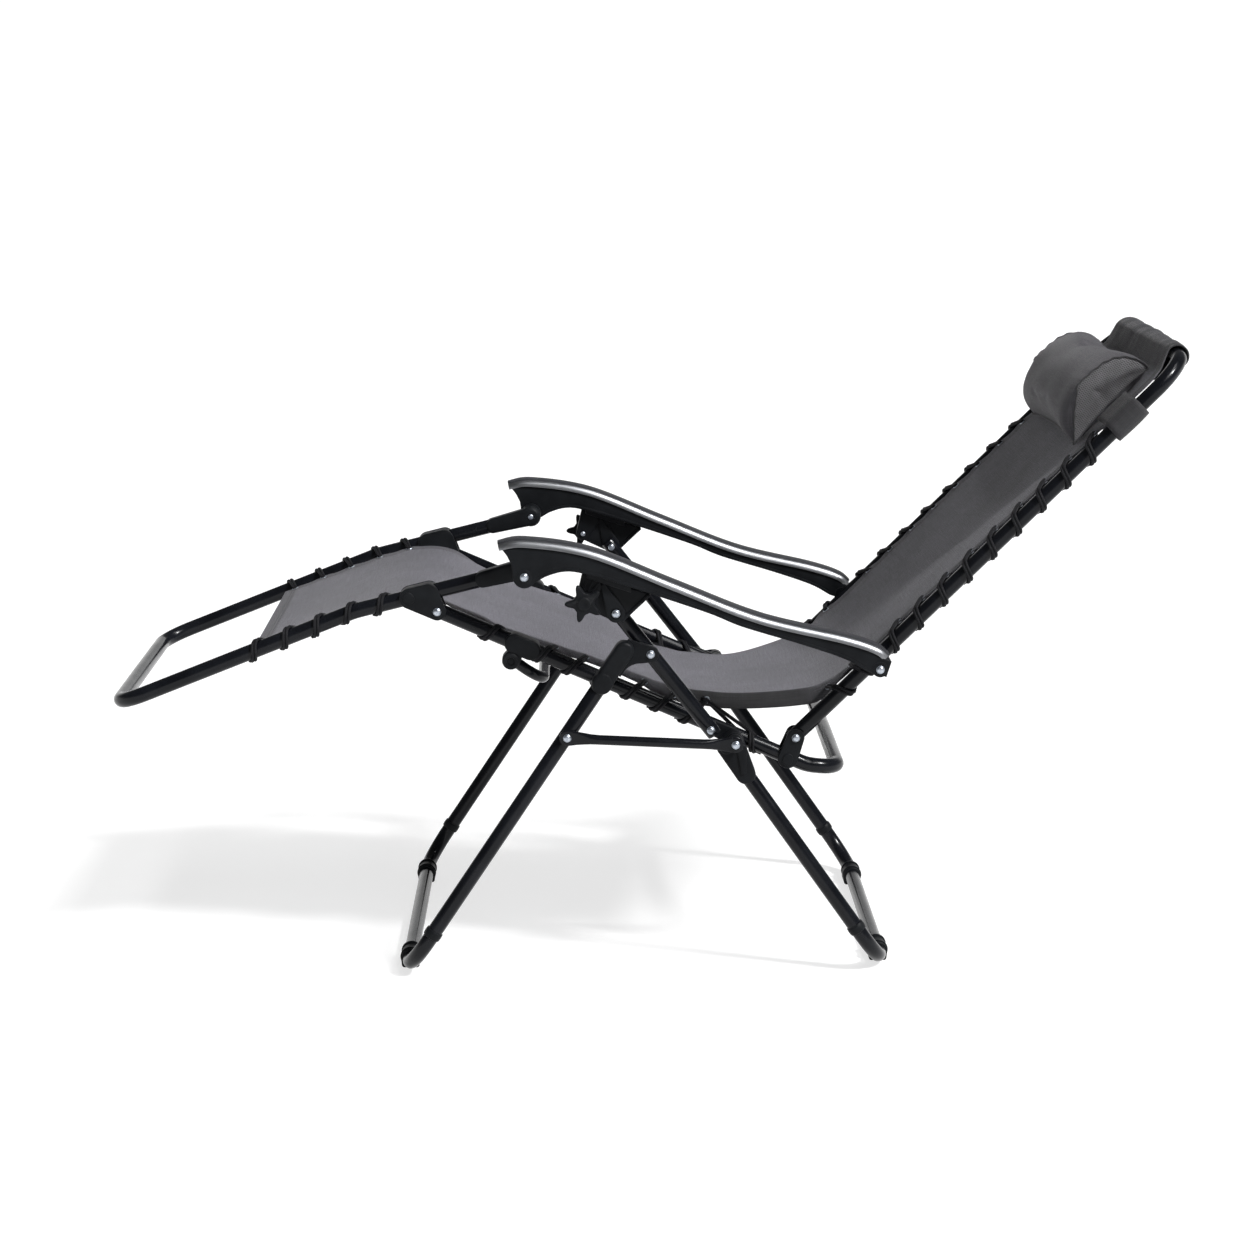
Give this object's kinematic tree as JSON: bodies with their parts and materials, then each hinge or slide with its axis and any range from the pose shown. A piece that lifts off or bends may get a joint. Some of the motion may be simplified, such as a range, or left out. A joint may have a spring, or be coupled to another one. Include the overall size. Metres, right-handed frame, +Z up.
{
  "type": "zero gravity recliner",
  "caption": "Folding zero gravity lounger: laced textile sling on a jointed tube frame with footrest, reclining back, locking armrests and a head pillow.",
  "frame": {"origin": "on the floor, below the middle of the outline", "axes": "+X from the feet to the head, +Y to the sitter's right, +Z up"},
  "size_m": [1.5397, 0.6712, 0.8974],
  "materials": {
    "steel_black": "gloss black powder coat",
    "plastic_black": "fine grained moulding",
    "zinc": "zinc plated",
    "textile": "grey open weave textilene",
    "pillow_cloth": "dark grey weave with mesh ends",
    "webbing": "woven strap",
    "elastic": "braided black shock cord"
  },
  "bodies": {
    "struts": {"strut_left": "steel_black", "strut_right": "steel_black", "seat_pivot_bolt_left": "zinc", "seat_pivot_bolt_right": "zinc", "front_leg_bolt_left": "zinc", "front_leg_bolt_right": "zinc", "lock_bolt_left": "zinc", "lock_bolt_right": "zinc"},
    "rear_legs": {"rear_leg_frame": "steel_black", "rear_leg_knuckle_left": "plastic_black", "rear_leg_knuckle_right": "plastic_black", "rear_foot_pad_left": "plastic_black", "rear_foot_pad_right": "plastic_black", "rear_link_bolt_left": "zinc", "rear_link_bolt_right": "zinc"},
    "front_legs": {"front_leg_frame": "steel_black", "front_leg_cap_left": "plastic_black", "front_leg_cap_right": "plastic_black", "front_foot_pad_left": "plastic_black", "front_foot_pad_right": "plastic_black"},
    "link_bars": {"leg_link_left": "steel_black", "leg_link_right": "steel_black", "front_link_bolt_left": "zinc", "front_link_bolt_right": "zinc"},
    "seat": {"seat_frame": "steel_black", "seat_sling": "textile", "spreader_bar": "steel_black", "backrest_bracket_left": "plastic_black", "backrest_bracket_right": "plastic_black", "seat_lacing_left": "elastic", "seat_lacing_right": "elastic", "footrest_seat_bolt_left": "zinc", "footrest_seat_bolt_right": "zinc", "backrest_seat_bolt_left": "zinc", "backrest_seat_bolt_right": "zinc"},
    "footrest": {"footrest_frame": "steel_black", "footrest_sling": "textile", "footrest_bracket_left": "plastic_black", "footrest_bracket_right": "plastic_black", "footrest_lacing_left": "elastic", "footrest_lacing_right": "elastic"},
    "backrest": {"backrest_frame": "steel_black", "back_sling": "textile", "back_lacing_left": "elastic", "back_lacing_right": "elastic"},
    "armrests": {"armrest_left": "plastic_black", "armrest_right": "plastic_black", "arm_bar_left": "steel_black", "arm_bar_right": "steel_black", "footrest_arm_bolt_left": "zinc", "footrest_arm_bolt_right": "zinc", "backrest_arm_bolt_left": "zinc", "backrest_arm_bolt_right": "zinc"},
    "locks": {"lock_housing_left": "plastic_black", "lock_housing_right": "plastic_black"},
    "knob_left": {"lock_knob_left": "plastic_black"},
    "knob_right": {"lock_knob_right": "plastic_black"},
    "pillow": {"head_pillow": "pillow_cloth", "pillow_strap": "webbing"}
  },
  "joints": [
    {"name": "recline", "type": "hinge", "parent": "seat", "child": "backrest", "pos_m": [0.21101, 0, 0.345], "axis": [0, 1, 0], "range_deg": [-13, 8.7]},
    {"name": "seat_tilt", "type": "hinge", "parent": "struts", "child": "seat", "pos_m": [0.08801, 0, 0.363], "axis": [0, 1, 0], "range_deg": [-8.6, 5.6]},
    {"name": "footrest_tilt", "type": "hinge", "parent": "seat", "child": "footrest", "pos_m": [-0.29999, 0, 0.53], "axis": [0, 1, 0], "range_deg": [-20.1, 13]},
    {"name": "armrest_swing", "type": "hinge", "parent": "backrest", "child": "armrests", "pos_m": [0.32401, 0, 0.457], "axis": [0, 1, 0], "range_deg": [-10, 15.5]},
    {"name": "lock_tilt", "type": "hinge", "parent": "struts", "child": "locks", "pos_m": [-0.04699, 0, 0.536], "axis": [0, 1, 0], "range_deg": [-6.8, 4.4]},
    {"name": "leg_fold", "type": "hinge", "parent": "struts", "child": "rear_legs", "pos_m": [0.08801, 0, 0.363], "axis": [0, 1, 0], "range_deg": [0, 95]},
    {"name": "front_leg_swing", "type": "hinge", "parent": "struts", "child": "front_legs", "pos_m": [0.00201, 0, 0.475], "axis": [0, 1, 0], "range_deg": [-0.1, 21.8]},
    {"name": "link_swing", "type": "hinge", "parent": "rear_legs", "child": "link_bars", "pos_m": [0.12201, 0, 0.348], "axis": [0, 1, 0], "range_deg": [-76.4, 0.1]},
    {"name": "knob_left_turn", "type": "hinge", "parent": "locks", "child": "knob_left", "pos_m": [-0.09199, -0.33, 0.554], "axis": [0, 1, 0], "range_deg": [0, 360]},
    {"name": "knob_right_turn", "type": "hinge", "parent": "locks", "child": "knob_right", "pos_m": [-0.09199, 0.33, 0.554], "axis": [0, 1, 0], "range_deg": [-360, 0]},
    {"name": "pillow_slide", "type": "slide", "parent": "backrest", "child": "pillow", "axis": [0.7113, 0, 0.7029], "range_m": [-0.2, 0.015]}
  ],
  "couplings": [
    {"joint": "seat_tilt", "follows": "recline", "ratio": 0.6305},
    {"joint": "footrest_tilt", "follows": "recline", "ratio": 1.4797},
    {"joint": "armrest_swing", "follows": "recline", "ratio": -1.1372},
    {"joint": "lock_tilt", "follows": "recline", "ratio": 0.4933},
    {"joint": "front_leg_swing", "follows": "leg_fold", "ratio": 0.2278},
    {"joint": "link_swing", "follows": "leg_fold", "ratio": -0.8029}
  ]
}
